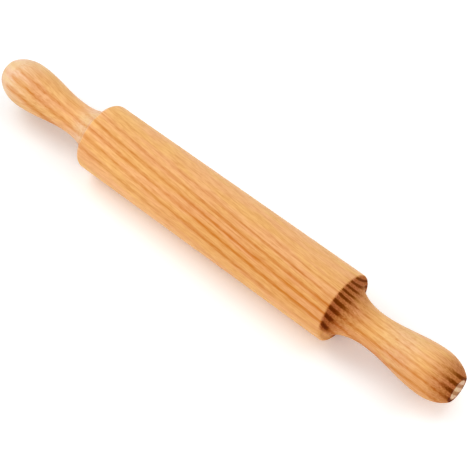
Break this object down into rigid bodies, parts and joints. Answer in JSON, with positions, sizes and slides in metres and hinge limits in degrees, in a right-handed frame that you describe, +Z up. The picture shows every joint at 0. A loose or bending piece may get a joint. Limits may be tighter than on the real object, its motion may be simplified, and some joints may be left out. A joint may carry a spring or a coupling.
{
  "type": "rolling pin",
  "caption": "Rolling pin turned from solid pine: a plain cylindrical barrel that runs on through hollow coves and slim necks into handles with bulb ends.",
  "frame": {"origin": "on the surface that the pin lies on, under the middle of the barrel", "axes": "+X along the pin's own axis, towards one of its two like ends; +Z up from the surface; +Y across the barrel"},
  "size_m": [0.45, 0.057, 0.0569],
  "materials": {
    "pine": "honey-coloured pine with straight growth rings, sanded smooth, thin satin oil finish"
  },
  "bodies": {
    "root": {"turned_pin": "pine"}
  },
  "joints": []
}
